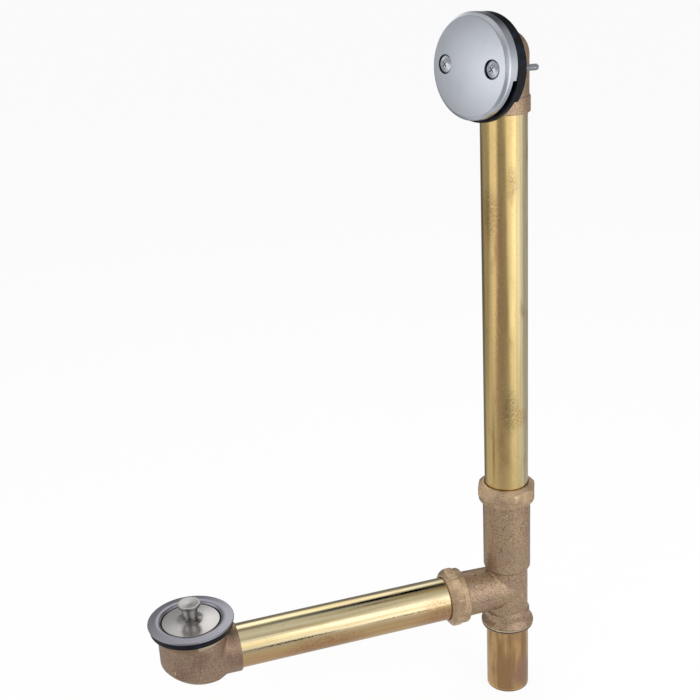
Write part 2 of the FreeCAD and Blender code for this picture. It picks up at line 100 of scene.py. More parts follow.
class BronzeSettings(bpy.types.PropertyGroup):
    """Sand-cast and tumbled bronze"""

    step: bpy.props.FloatProperty(
        name="Surface step", description="Spacing of the points on a skin", default=0.48 * MM, unit="LENGTH")
    nut_share: bpy.props.FloatProperty(
        name="Nuts' step", description="The nuts' finer spacing, as a share of the others'", default=0.75)
    skin: bpy.props.FloatProperty(
        name="Skin depth", description="How far the grain stands in and out", default=0.1 * MM, unit="LENGTH")
    body: bpy.props.FloatVectorProperty(
        name="Bronze", description="Tumbled high spots", default=linear("#bea284"), subtype="COLOR")
    pink: bpy.props.FloatVectorProperty(
        name="Pink patches", description="Copper-rich patches", default=linear("#b79a82"), subtype="COLOR")
    hollow: bpy.props.FloatVectorProperty(
        name="Hollows", description="Dull colour left in the pits", default=linear("#6f5b47"), subtype="COLOR")
    # This colour also lightens the castings' bent edges: rubbed wear and a painted highlight
    rubbed: bpy.props.FloatVectorProperty(
        name="Rubbed grains", description="Tips of the sand's grain", default=linear("#ecdcbf"), subtype="COLOR")
    nut: bpy.props.FloatVectorProperty(
        name="Nuts", description="The slip nuts' cleaner bronze", default=linear("#dfc19c"), subtype="COLOR")
    shoe: bpy.props.FloatVectorProperty(
        name="Shoe", description="The drain shoe's browner metal", default=linear("#ab907a"), subtype="COLOR")
    shoe_pink: bpy.props.FloatVectorProperty(
        name="Shoe's patches", description="Copper-rich patches on it", default=linear("#9a7c6c"), subtype="COLOR")
    turned: bpy.props.FloatVectorProperty(
        name="Turned bronze", description="Shoe's band and bell's lip", default=linear("#8a7058"), subtype="COLOR")


class BrassSettings(bpy.types.PropertyGroup):
    """Drawn brass tube"""

    # Pale is the painted highlight side of the riser and the arm, and the turned brass's own colour; yellow and brown
    # are the painted shade on their other sides
    pale: bpy.props.FloatVectorProperty(
        name="Pale brass", description="Clean drawn surface", default=linear("#f4e6be"), subtype="COLOR")
    yellow: bpy.props.FloatVectorProperty(
        name="Yellow brass", description="The riser's other side", default=linear("#e6c988"), subtype="COLOR")
    brown: bpy.props.FloatVectorProperty(
        name="Brown brass", description="The arm's underside", default=linear("#d3ac80"), subtype="COLOR")
    dull: bpy.props.FloatVectorProperty(
        name="Dull brass", description="Draw streaks", default=linear("#dabf84"), subtype="COLOR")
    stain: bpy.props.FloatVectorProperty(
        name="Stain", description="Handling stains", default=linear("#a98760"), subtype="COLOR")
    gold: bpy.props.FloatVectorProperty(
        name="Tailpiece gold", description="Its cleaner streaks", default=linear("#dab27c"), subtype="COLOR")
    amber: bpy.props.FloatVectorProperty(
        name="Tailpiece amber", description="Its other streaks", default=linear("#b08a60"), subtype="COLOR")
    roughness: bpy.props.FloatProperty(name="Roughness", description="Of the clean tube", default=0.17, min=0, max=1)


class NickelSettings(bpy.types.PropertyGroup):
    """Satin nickel plating"""

    plate: bpy.props.FloatVectorProperty(
        name="Nickel", description="The face plate", default=linear("#e0e5ee"), subtype="COLOR")
    # The flange's grey is a darker copy of the same nickel: painted shade
    flange: bpy.props.FloatVectorProperty(
        name="Flange nickel", description="The drain flange's darker grey", default=linear("#aaa9b2"), subtype="COLOR")
    stopper: bpy.props.FloatVectorProperty(
        name="Stopper nickel", description="The stopper's warmer grey", default=linear("#d3d0ce"), subtype="COLOR")
    steel: bpy.props.FloatVectorProperty(
        name="Screw steel", description="Plated screws", default=linear("#dde2ea"), subtype="COLOR")
    roughness: bpy.props.FloatProperty(name="Roughness", description="Of the satin", default=0.2, min=0, max=1)


class RubberSettings(bpy.types.PropertyGroup):
    """Moulded rubber"""

    black: bpy.props.FloatVectorProperty(
        name="Rubber", description="Moulded black rubber", default=linear("#07080c"), subtype="COLOR")
    bloom: bpy.props.FloatVectorProperty(
        name="Bloom", description="Grey bloom on the skin", default=linear("#12192c"), subtype="COLOR")


class StudioSettings(bpy.types.PropertyGroup):
    """Camera, lamps and cards"""

    place: bpy.props.FloatVectorProperty(
        name="Camera", description="Where it stands", default=(-0.1192, -0.9038, 0.5900), subtype="TRANSLATION")
    turn: bpy.props.FloatProperty(
        name="Turn", description="From +Y towards +X", default=math.radians(16.784), subtype="ANGLE")
    drop: bpy.props.FloatProperty(
        name="Drop", description="How far it looks down", default=math.radians(21.434), subtype="ANGLE")
    roll: bpy.props.FloatProperty(
        name="Roll", description="About its own axis", default=math.radians(-3.204), subtype="ANGLE")
    lens: bpy.props.FloatProperty(name="Lens", description="Focal length in millimetres", default=64.18)
    plain: bpy.props.FloatProperty(name="Room light", description="World level on the object", default=0.6)
    tent: bpy.props.FloatProperty(name="Tent tone", description="Tone of the grey card tent", default=0.59)


# ---------------------------------------------------------------- helpers


def add_node(tree, kind, settings, links=()):
    """Add one node with its settings and its incoming links."""
    node = tree.nodes.new(kind)
    for key, value in settings.items():
        if isinstance(key, int) or key in node.inputs:
            node.inputs[key].default_value = value
        else:
            setattr(node, key, value)
    for key, socket in dict(links).items():
        tree.links.new(socket, node.inputs[key])
    return node


def new_material(name):
    """An empty material with a shader: its tree, its shader and its Object coordinates."""
    material = bpy.data.materials.new(name)
    material.use_nodes = True
    tree = material.node_tree
    tree.nodes.clear()
    shader = add_node(tree, "ShaderNodeBsdfPrincipled", {})
    add_node(tree, "ShaderNodeOutputMaterial", {}, {"Surface": shader.outputs[0]})
    coords = add_node(tree, "ShaderNodeTexCoord", {}).outputs["Object"]
    return material, tree, shader, coords


def rgba(colour):
    """A colour with full alpha."""
    return (*colour, 1.0)


def select_only(*objects):
    """Deselect everything, then select these with the first one active."""
    bpy.ops.object.select_all(action="DESELECT")
    for item in objects:
        item.select_set(True)
    bpy.context.view_layer.objects.active = objects[0]


def apply_modifier(piece, kind, **settings):
    """Add one modifier to the active piece and apply it."""
    bpy.ops.object.modifier_add(type=kind)
    modifier = piece.modifiers[-1]
    for key, value in settings.items():
        setattr(modifier, key, value)
    bpy.ops.object.modifier_apply(modifier=modifier.name)


def copy_of(node, name):
    """A merged copy of a solid's mesh as a new piece."""
    piece = bpy.data.objects.new(name, NODES[node].data.copy())
    bpy.context.scene.collection.objects.link(piece)
    select_only(piece)
    bpy.ops.object.mode_set(mode="EDIT")
    bpy.ops.mesh.select_all(action="SELECT")
    bpy.ops.mesh.remove_doubles(threshold=0.002 * MM)
    bpy.ops.object.mode_set(mode="OBJECT")
    return piece


def select_points(piece, test):
    """Go into edit mode with the points selected that pass a test on their place."""
    select_only(piece)
    bpy.ops.object.mode_set(mode="EDIT")
    bpy.ops.mesh.select_mode(type="VERT")
    bpy.ops.mesh.select_all(action="DESELECT")
    bpy.ops.object.mode_set(mode="OBJECT")
    for vertex in piece.data.vertices:
        vertex.select = test(vertex.co)
    bpy.ops.object.mode_set(mode="EDIT")


def finish_piece(piece, node, material):
    """Give a piece its material, and let it stand for its solid on its body."""
    piece.data.materials.clear()
    piece.data.materials.append(material)
    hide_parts(node)
    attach(piece, BODY_OF[node])


def even_copy(node, material):
    """A merged copy of a turned piece, which shines evenly right across its centre."""
    piece = copy_of(node, node + "_even")
    bpy.ops.mesh.customdata_custom_splitnormals_clear()
    bpy.ops.object.mode_set(mode="EDIT")
    bpy.ops.mesh.select_all(action="SELECT")
    bpy.ops.mesh.dissolve_degenerate(threshold=0.002 * MM)
    bpy.ops.object.mode_set(mode="OBJECT")
    bpy.ops.object.shade_smooth_by_angle(angle=math.radians(24))
    apply_modifier(piece, "WEIGHTED_NORMAL", keep_sharp=True, weight=80)
    finish_piece(piece, node, material)
    return piece


def part_off(height, keep_upper):
    """Cut the active piece level at a height, keep one part and close it."""
    bpy.ops.object.mode_set(mode="EDIT")
    bpy.ops.mesh.select_all(action="SELECT")
    bpy.ops.mesh.bisect(
        plane_co=(0, 0, height), plane_no=(0, 0, 1), use_fill=True,
        clear_inner=keep_upper, clear_outer=not keep_upper)
    bpy.ops.object.mode_set(mode="OBJECT")


def dress(node, material):
    """Give a solid that stays its material."""
    mesh = NODES[node].data
    mesh.materials.clear()
    mesh.materials.append(material)


# ---------------------------------------------------------------- materials


SOFT = {"interpolation_type": "SMOOTHSTEP"}


def patterns(tree, noises, shares):
    """The patterns of a surface, by name.

    A noise is the size of its blots in millimetres, its detail, its roughness and the coordinates it reads. A share
    is what it comes from, the values where it starts and where it is full, and how much of the surface it covers
    there."""
    found = {}
    for name, (size, detail, roughness, place) in noises.items():
        found[name] = add_node(
            tree, "ShaderNodeTexNoise", {"Scale": 1 / (size * MM), "Detail": detail, "Roughness": roughness},
            {"Vector": place}).outputs["Fac"]
    for name, (source, begin, full, most) in shares.items():
        found[name] = add_node(
            tree, "ShaderNodeMapRange", {**SOFT, "From Min": begin, "From Max": full, "To Max": most},
            {"Value": found.get(source, source)}).outputs[0]
    return found


def join_surface(material, shader, metallic, first, coats, rough, skin=None):
    """Lay coats of colour over the first colour, each over its share, and join the surface to its shader."""
    tree = material.node_tree
    fixed, linked = {6: rgba(first)}, {}
    for share, tint in coats:
        colour = add_node(
            tree, "ShaderNodeMix", {"data_type": "RGBA", 7: rgba(tint), **fixed}, {0: share, **linked}).outputs[2]
        fixed, linked = {}, {6: colour}
    shader.inputs["Metallic"].default_value = metallic
    for name, socket in (("Base Color", colour), ("Roughness", rough), ("Normal", skin)):
        if socket:
            tree.links.new(socket, shader.inputs[name])
    return material


def cast_bronze(settings, name, main, patch, speckle):
    """Red bronze, sand cast and tumbled: dull, tan to pinkish, with fine pits and rubbed grains; its edges are
    lightened as rubbed wear and as a painted highlight, and its corners are darkened with painted shade.

    The speckle, from 0 to 1, is how strongly the pits and grains show."""
    material, tree, shader, coords = new_material(name)
    bent = add_node(tree, "ShaderNodeNewGeometry", {}).outputs["Pointiness"]
    open_share = add_node(tree, "ShaderNodeAmbientOcclusion", {"samples": 8, "Distance": 3 * MM}).outputs["AO"]
    found = patterns(tree, {
        # The sand's grain is about 0.3 mm, too fine to show, so it is drawn at about 1 mm
        "grain": (1.0, 5, 0.55, coords),
        "tips": (0.8, 3, 0.7, coords),
        "clouds": (17, 3, 0.55, coords),
    }, {
        "patches": ("clouds", 0.42, 0.62, 1),
        "pits": ("grain", 0.49, 0.36, speckle),
        "rubs": ("tips", 0.56, 0.7, speckle),
        "edges": (bent, 0.53, 0.6, 0.6),
        "corners": (open_share, 0.7, 0.25, 1),
    })
    coats = (
        (found["patches"], patch),
        (found["pits"], settings.hollow),
        (found["rubs"], settings.rubbed),
        # Bent edges take the rubbed colour: partly rubbed wear, partly a painted highlight
        (found["edges"], settings.rubbed),
        # Painted shade: closed-in corners go dark brown
        (found["corners"], linear("#2f2620")),
    )
    rough = add_node(
        tree, "ShaderNodeMapRange", {"From Min": 0.3, "From Max": 0.7, "To Min": 0.5, "To Max": 0.3},
        {"Value": found["grain"]}).outputs[0]
    height = add_node(
        tree, "ShaderNodeMath", {"operation": "MULTIPLY_ADD", 1: 0.5},
        {0: found["tips"], 2: found["grain"]}).outputs[0]
    skin = add_node(
        tree, "ShaderNodeBump", {"Distance": 0.2 * MM, "Strength": 0.4 + 0.6 * speckle}, {"Height": height}).outputs[0]
    return join_surface(material, shader, 0.85, main, coats, rough, skin)


def turned_bronze(settings):
    """The same bronze where a lathe has cut it: fine rings, a smoother shine, and darker than the cast skin."""
    material, tree, shader, coords = new_material("turned_bronze")
    # The lathe's rings are about 0.2 mm apart, too fine to show, so they are drawn at 0.4 mm
    flat_coords = add_node(tree, "ShaderNodeMapping", {"Scale": (0.02, 0.02, 3)}, {"Vector": coords}).outputs[0]
    bent = add_node(tree, "ShaderNodeNewGeometry", {}).outputs["Pointiness"]
    open_share = add_node(tree, "ShaderNodeAmbientOcclusion", {"samples": 8, "Distance": 2 * MM}).outputs["AO"]
    found = patterns(tree, {"rings": (1.2, 2, 0.5, flat_coords)}, {
        "cuts": ("rings", 0.4, 0.6, 1),
        "edges": (bent, 0.51, 0.55, 0.9),
        "corners": (open_share, 0.85, 0.4, 1),
    })
    coats = (
        (found["cuts"], settings.shoe),
        # Bent edges take the rubbed colour: partly rubbed wear, partly a painted highlight
        (found["edges"], settings.rubbed),
        # Painted shade: closed-in corners go dark brown
        (found["corners"], linear("#2a211b")),
    )
    rough = add_node(
        tree, "ShaderNodeMapRange", {"To Min": 0.28, "To Max": 0.38}, {"Value": found["rings"]}).outputs[0]
    skin = add_node(tree, "ShaderNodeBump", {"Distance": 0.03 * MM}, {"Height": found["rings"]}).outputs[0]
    return join_surface(material, shader, 0.9, settings.turned, coats, rough, skin)


def drawn_brass(settings, name, along, across, sides, tones, stain_range, smudges_and_reflections, gloss=0.0):
    """Cartridge brass tube, drawn and left raw: faint draw streaks, two tones of painted light and shade, soft stains,
    small specks, smudge marks and painted dark reflection lines.

    The streaks run along one axis. Across the tube the brass goes from its first tone to its second between two
    places: painted shade on the first side and a painted highlight on the second. The stain rises over a range of
    the large noise. A smudge is a place, a reach across the tube, how much it is squeezed along it, a colour and a
    cover; a thin dark smudge on the arm is a painted reflection. Closed-in corners get painted shade."""
    material, tree, shader, coords = new_material(name)
    long_way = [1.0, 1.0, 1.0]
    long_way[along] = 0.02
    half_way = [1.0, 1.0, 1.0]
    half_way[along] = 0.35
    long_coords = add_node(tree, "ShaderNodeMapping", {"Scale": long_way}, {"Vector": coords}).outputs[0]
    half_coords = add_node(tree, "ShaderNodeMapping", {"Scale": half_way}, {"Vector": coords}).outputs[0]
    open_share = add_node(tree, "ShaderNodeAmbientOcclusion", {"samples": 8, "Distance": 3 * MM}).outputs["AO"]
    place = add_node(tree, "ShaderNodeSeparateXYZ", {}, {"Vector": coords}).outputs[across]
    found = patterns(tree, {
        # The draw lines are about 0.2 mm wide, too fine to show, so they are drawn as soft streaks of 3.5 mm
        "streaks": (3.5, 4, 0.5, long_coords),
        "clouds": (15, 6, 0.55, half_coords),
        "specks": (1.3, 3, 0.6, coords),
    }, {
        "painted_lit_side": (place, *sides, 1),
        "dull": ("streaks", 0.4, 0.75, 1),
        "stained": ("clouds", *stain_range, 0.8),
        "dots": ("specks", 0.63, 0.72, 0.55),
        "blots": ("specks", 0.3, 0.6, 1),
        "corners": (open_share, 0.6, 0.2, 1),
    })
    coats = [
        # Painted light: the second tone is a paler lit side, the first tone a darker shaded side
        (found["painted_lit_side"], tones[1]),
        (found["dull"], settings.dull),
        (found["stained"], settings.stain),
        (found["dots"], linear("#6e5433")),
    ]
    # Stains, and on the arm thin dark lines that are painted reflections
    for centre, reach, squeeze, tint, cover in smudges_and_reflections:
        long_way[along] = squeeze
        squeezed = add_node(
            tree, "ShaderNodeVectorMath", {"operation": "MULTIPLY", 1: long_way}, {0: coords}).outputs[0]
        away = add_node(
            tree, "ShaderNodeVectorMath", {"operation": "DISTANCE", 1: centre * Vector(long_way)},
            {0: squeezed}).outputs["Value"]
        near = add_node(
            tree, "ShaderNodeMapRange",
            {**SOFT, "From Min": reach * MM, "From Max": 0.3 * reach * MM, "To Max": cover},
            {"Value": away}).outputs[0]
        share = add_node(tree, "ShaderNodeMath", {"operation": "MULTIPLY"}, {0: near, 1: found["blots"]}).outputs[0]
        coats.append((share, linear(tint)))
    # Painted shade: closed-in corners go dark brown
    coats.append((found["corners"], linear("#3a2c1a")))
    low = settings.roughness - gloss
    rough = add_node(
        tree, "ShaderNodeMapRange", {"From Min": 0.35, "From Max": 0.75, "To Min": low - 0.03, "To Max": low + 0.14},
        {"Value": found["clouds"]}).outputs[0]
    waves = add_node(tree, "ShaderNodeBump", {"Distance": 0.012 * MM}, {"Height": found["streaks"]}).outputs[0]
    skin = add_node(
        tree, "ShaderNodeBump", {"Distance": 0.1 * MM}, {"Height": found["clouds"], "Normal": waves}).outputs[0]
    return join_surface(material, shader, 1, tones[0], coats, rough, skin)


def tarnished_brass(settings):
    """Drawn brass that has been handled: golden brown streaks, pinkish clouds low on one side, and a dark cut end."""
    material, tree, shader, coords = new_material("tarnished_brass")
    long_coords = add_node(tree, "ShaderNodeMapping", {"Scale": (1, 1, 0.12)}, {"Vector": coords}).outputs[0]
    open_share = add_node(tree, "ShaderNodeAmbientOcclusion", {"samples": 8, "Distance": 3 * MM}).outputs["AO"]
    height = add_node(tree, "ShaderNodeSeparateXYZ", {}, {"Vector": coords}).outputs["Z"]
    away = add_node(
        tree, "ShaderNodeVectorMath", {"operation": "DISTANCE", 1: (RISER_X + 11 * MM, -16 * MM, FLOOR_Z + 17 * MM)},
        {0: coords}).outputs["Value"]
    found = patterns(tree, {
        "streaks": (9, 3, 0.5, long_coords),
        "clouds": (12, 5, 0.5, coords),
        "specks": (1.3, 3, 0.5, coords),
    }, {
        "streaky": ("streaks", 0.42, 0.58, 1),
        "cloudy": ("clouds", 0.45, 0.7, 0.45),
        "dots": ("specks", 0.64, 0.76, 0.7),
        "cut_end": (height, FLOOR_Z + 1.6 * MM, FLOOR_Z + 0.4 * MM, 1),
        "corners": (open_share, 0.75, 0.3, 1),
    })
    wander = add_node(
        tree, "ShaderNodeMath", {"operation": "MULTIPLY_ADD", 1: 0.03}, {0: found["clouds"], 2: away}).outputs[0]
    low_side = add_node(
        tree, "ShaderNodeMapRange", {**SOFT, "From Min": 36 * MM, "From Max": 24 * MM, "To Max": 0.8},
        {"Value": wander}).outputs[0]
    coats = (
        (found["streaky"], settings.amber),
        (found["cloudy"], linear("#b08a6c")),
        (low_side, linear("#a88272")),
        (found["dots"], linear("#8a5f40")),
        (found["cut_end"], linear("#5a4636")),
        # Painted shade: closed-in corners go dark brown
        (found["corners"], linear("#3a2c1a")),
    )
    rough = add_node(
        tree, "ShaderNodeMapRange", {"To Min": 0.2, "To Max": 0.36}, {"Value": found["clouds"]}).outputs[0]
    skin = add_node(tree, "ShaderNodeBump", {"Distance": 0.06 * MM}, {"Height": found["clouds"]}).outputs[0]
    return join_surface(material, shader, 1, settings.gold, coats, rough, skin)


def satin_nickel(name, plate, roughness, reach, gap, shade_tint, tight=(0.15, 0.6), ringed=True):
    """Nickel plate over brass, satin: a soft grey mirror, with faint turning rings on lathe-cut parts.

    Within the reach in millimetres, the gap gives how open a place may be to take the full painted shade and how open
    it must be to take none; tight gives the same for the near-black painted shade in narrow joints between parts."""
    material, tree, shader, coords = new_material(name)
    open_share = add_node(tree, "ShaderNodeAmbientOcclusion", {"samples": 12, "Distance": reach * MM}).outputs["AO"]
    tight_share = add_node(tree, "ShaderNodeAmbientOcclusion", {"samples": 8, "Distance": 1.6 * MM}).outputs["AO"]
    found = patterns(tree, {
        "clouds": (30, 3, 0.5, coords),
        # The satin's scratches are about 0.02 mm, too fine to show, so they are drawn at 0.25 mm
        "satin": (0.25, 2, 0.5, coords),
    }, {
        "cloudy": ("clouds", 0.4, 0.7, 1),
        "brushed": ("satin", 0.3, 0.8, 1),
        "corners": (open_share, gap[1], gap[0], 1),
        "joints": (tight_share, tight[1], tight[0], 1),
    })
    coats = (
        (found["cloudy"], [0.9 * part for part in plate]),
        (found["brushed"], [0.84 * part for part in plate]),
        # Painted shade: closed-in places take the shade tint, narrow joints go near black
        (found["corners"], linear(shade_tint)),
        (found["joints"], linear("#151517")),
    )
    rough = add_node(
        tree, "ShaderNodeMapRange", {"To Min": roughness - 0.02, "To Max": roughness + 0.04},
        {"Value": found["satin"]}).outputs[0]
    if not ringed:
        return join_surface(material, shader, 1, plate, coats, rough)
    flat = add_node(tree, "ShaderNodeVectorMath", {"operation": "MULTIPLY", 1: (1, 1, 0)}, {0: coords}).outputs[0]
    radius = add_node(tree, "ShaderNodeVectorMath", {"operation": "LENGTH"}, {0: flat}).outputs["Value"]
    # The turning rings are about 0.2 mm apart, too fine to show, so they are drawn at 0.7 mm
    rings = add_node(
        tree, "ShaderNodeTexNoise", {"noise_dimensions": "1D", "Scale": 1 / (0.7 * MM), "Detail": 2.0},
        {"W": radius}).outputs["Fac"]
    skin = add_node(tree, "ShaderNodeBump", {"Distance": 0.006 * MM}, {"Height": rings}).outputs[0]
    return join_surface(material, shader, 1, plate, coats, rough, skin)


def screw_steel(settings):
    """Zinc-plated steel: a hard grey, with painted shade going near black down in the cross and in the thread."""
    material, tree, shader, coords = new_material("screw_steel")
    open_share = add_node(tree, "ShaderNodeAmbientOcclusion", {"samples": 12, "Distance": 2.2 * MM}).outputs["AO"]
    found = patterns(tree, {"clouds": (1.5, 4, 0.5, coords)}, {
        "cloudy": ("clouds", 0.4, 0.7, 1),
        "corners": (open_share, 0.74, 0.38, 1),
    })
    coats = (
        (found["cloudy"], [0.85 * part for part in settings.steel]),
        # Painted shade: closed-in places go near black
        (found["corners"], linear("#060606")),
    )
    rough = add_node(
        tree, "ShaderNodeMapRange", {"To Min": 0.18, "To Max": 0.34}, {"Value": found["clouds"]}).outputs[0]
    skin = add_node(tree, "ShaderNodeBump", {"Distance": 0.004 * MM}, {"Height": found["clouds"]}).outputs[0]
    return join_surface(material, shader, 1, settings.steel, coats, rough, skin)


def turned_brass(settings):
    """Free-cutting brass, turned: small fine rings and a clean yellow."""
    material, tree, shader, coords = new_material("turned_brass")
    # The rings are about 0.15 mm apart, too fine to show, so they are drawn at 0.6 mm
    flat_coords = add_node(tree, "ShaderNodeMapping", {"Scale": (0.05, 0.05, 1)}, {"Vector": coords}).outputs[0]
    found = patterns(tree, {"rings": (0.6, 2, 0.5, flat_coords)}, {"cuts": ("rings", 0.4, 0.6, 1)})
    rough = add_node(
        tree, "ShaderNodeMapRange", {"To Min": 0.1, "To Max": 0.4}, {"Value": found["rings"]}).outputs[0]
    skin = add_node(tree, "ShaderNodeBump", {"Distance": 0.02 * MM}, {"Height": found["rings"]}).outputs[0]
    return join_surface(material, shader, 1, settings.pale, [(found["cuts"], settings.dull)], rough, skin)


def black_rubber(settings):
    """Moulded rubber: bluish black, soft sheen, a faint grey bloom and a fine skin."""
    material, tree, shader, coords = new_material("black_rubber")
    found = patterns(tree, {
        "clouds": (7, 4, 0.5, coords),
        # The mould's grain is about 0.1 mm, too fine to show, so it is drawn at 0.5 mm
        "grain": (0.5, 3, 0.5, coords),
    }, {"cloudy": ("clouds", 0.45, 0.75, 1)})
    rough = add_node(
        tree, "ShaderNodeMapRange", {"To Min": 0.22, "To Max": 0.62}, {"Value": found["clouds"]}).outputs[0]
    skin = add_node(tree, "ShaderNodeBump", {"Distance": 0.02 * MM}, {"Height": found["grain"]}).outputs[0]
    shader.inputs["Specular IOR Level"].default_value = 0.25
    return join_surface(material, shader, 0, settings.black, [(found["cloudy"], settings.bloom)], rough, skin)


# ---------------------------------------------------------------- pieces


class BATH_OT_castings(bpy.types.Operator):
    """Cast the tee, the elbow, the shoe and the two slip nuts with soft edges and a sand skin"""

    bl_idname = "bath_waste.castings"
    bl_label = "Castings"

    most_faces: bpy.props.IntProperty(name="Most triangles", description="In one casting", default=170000)
    band: bpy.props.FloatProperty(
        name="Shoe's band", description="Height of its turned part", default=7.75 * MM, unit="LENGTH")
    lip_above: bpy.props.FloatProperty(
        name="Bell's lip", description="Its top, over the tailpiece's end", default=69.2 * MM, unit="LENGTH")
    branch_rounds: bpy.props.IntProperty(name="Branch's blend", description="Rounds of smoothing", default=26)
    outlet_rounds: bpy.props.IntProperty(name="Outlet's blend", description="Rounds of smoothing", default=72)

    def execute(self, context):
        """Build the five castings."""
        settings = context.scene.bath_bronze
        sand = bpy.data.textures.new("sand_grain", "CLOUDS")
        sand.noise_scale = 2.2 * MM
        sand.noise_depth = 3
        tee = cast_bronze(settings, "cast_bronze_tee", settings.body, settings.pink, 1.0)
        nut = cast_bronze(settings, "cast_bronze_nut", settings.nut, settings.body, 0.5)
        elbow = cast_bronze(settings, "cast_bronze_elbow", settings.body, settings.pink, 0.6)
        shoe = cast_bronze(settings, "cast_bronze_shoe", settings.shoe, settings.shoe_pink, 0.8)
        turned = turned_bronze(settings)
        for node, material, cut, upper_turned in (
            ("waste_tee", tee, CAD_BOX[0].z + self.lip_above, False),
            ("overflow_elbow", elbow, None, False),
            ("drain_shoe", shoe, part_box("shoe_gasket")[0].z - self.band, True),
            ("upper_slip_nut", nut, None, False),
            ("side_slip_nut", nut, None, False),
        ):
            piece = copy_of(node, node + "_cast")
            if cut:
                part_off(cut, not upper_turned)
            step = settings.step * (settings.nut_share if material is nut else 1)
            apply_modifier(piece, "REMESH", mode="VOXEL", voxel_size=step)
            apply_modifier(piece, "SMOOTH", factor=0.5, iterations=2)
            if node == "waste_tee":
                self.soften(piece, self.near_branch, self.branch_rounds)
            if node == "drain_shoe":
                self.soften(piece, self.near_outlet, self.outlet_rounds)
            if node != "drain_shoe":
                apply_modifier(piece, "DISPLACE", texture=sand, strength=2 * settings.skin, mid_level=0.5)
            share = self.most_faces / (2 * len(piece.data.polygons))
            if share < 1:
                apply_modifier(piece, "DECIMATE", ratio=share)
            bpy.ops.object.shade_smooth()
            finish_piece(piece, node, material)
            if cut:
                band = copy_of(node, node + "_turned")
                part_off(cut, upper_turned)
                bpy.ops.object.shade_smooth_by_angle(angle=math.radians(30))
                finish_piece(band, node, turned)
        return {"FINISHED"}

    def soften(self, piece, test, rounds):
        """Round a blend between two bodies of one casting."""
        select_points(piece, test)
        bpy.ops.mesh.vertices_smooth(factor=0.5, repeat=rounds)
        bpy.ops.object.mode_set(mode="OBJECT")

    def near_branch(self, point):
        """Outside points where the side branch leaves the tee's body."""
        body_bore, branch_bore, reach = 17.9 * MM, 18.4 * MM, 25 * MM
        from_arm = math.hypot(point.y, point.z - ARM_Z)
        from_riser = math.hypot(point.x - RISER_X, point.y)
        outside = from_riser > body_bore and (from_arm > branch_bore or point.x > RISER_X - 12 * MM)
        return outside and from_arm < reach and RISER_X - 28 * MM < point.x < RISER_X + 2 * MM

    def near_outlet(self, point):
        """Outside points where the outlet leaves the shoe's cup, below the band."""
        outlet_bore, reach, band_end = 20.6 * MM, 27 * MM, -15.5 * MM
        from_arm = math.hypot(point.y, point.z - ARM_Z)
        return outlet_bore < from_arm < reach and 16 * MM < point.x < 33.5 * MM and point.z < band_end


# Where a smudge lies on a tube's near side, its reach in millimetres, squeeze along the tube, colour and cover; on the
# arm, the first two are thin dark lines of painted reflection
RISER_SMUDGES = (
    (Vector((RISER_X - 4 * MM, -19 * MM, 0.146)), 10, 0.35, "#5c5548", 0.5),
    (Vector((RISER_X - 17 * MM, -9 * MM, 0.318)), 12, 0.4, "#8d6c49", 0.55),
    (Vector((RISER_X - 2 * MM, -19 * MM, 0.345)), 6, 0.3, "#6a5a44", 0.4),
    (Vector((RISER_X + 5 * MM, -18 * MM, 0.139)), 10, 0.8, "#c08a4c", 0.5),
    (Vector((RISER_X - 12 * MM, -15 * MM, 0.22)), 7, 0.03, "#cf9872", 0.55),
    (Vector((RISER_X + 18 * MM, -8 * MM, 0.22)), 9, 0.03, "#d2b888", 0.4),
)
ARM_SMUDGES_AND_REFLECTIONS = (
    # Painted reflection: two thin dark lines along the arm's top
    (Vector((0.082, -18.4 * MM, ARM_Z + 4.9 * MM)), 1.2, 0.02, "#2e220d", 1.0),
    (Vector((0.190, -18.4 * MM, ARM_Z + 4.7 * MM)), 1.0, 0.014, "#6b5128", 0.8),
    (Vector((0.230, -15 * MM, ARM_Z - 9 * MM)), 22, 0.5, "#b58262", 0.9),
    (Vector((0.110, -17 * MM, ARM_Z - 8 * MM)), 15, 0.3, "#b0835e", 0.85),
    (Vector((0.215, -17 * MM, ARM_Z + 6 * MM)), 9, 0.5, "#c79a5c", 0.5),
)


class BATH_OT_tubes(bpy.types.Operator):
    """Finish the three drawn tubes"""

    bl_idname = "bath_waste.tubes"
    bl_label = "Tubes"

    def execute(self, context):
        """Give the riser, the arm and the tailpiece their brass."""
        settings = context.scene.bath_brass
        # Painted light: the riser goes paler towards +X and the arm paler on top, over painted shade on their other
        # sides
        riser = drawn_brass(
            settings, "drawn_brass_riser", 2, 0, (RISER_X - 3 * MM, RISER_X + 8 * MM),
            (settings.yellow, settings.pale), (0.53, 0.8), RISER_SMUDGES)
        arm = drawn_brass(
            settings, "drawn_brass_arm", 0, 2, (ARM_Z - 2 * MM, ARM_Z + 8 * MM),
            (settings.brown, settings.pale), (0.55, 0.82), ARM_SMUDGES_AND_REFLECTIONS, gloss=0.05)
        dress("overflow_tube", riser)
        dress("waste_arm", arm)
        dress("tailpiece", tarnished_brass(settings))
        return {"FINISHED"}


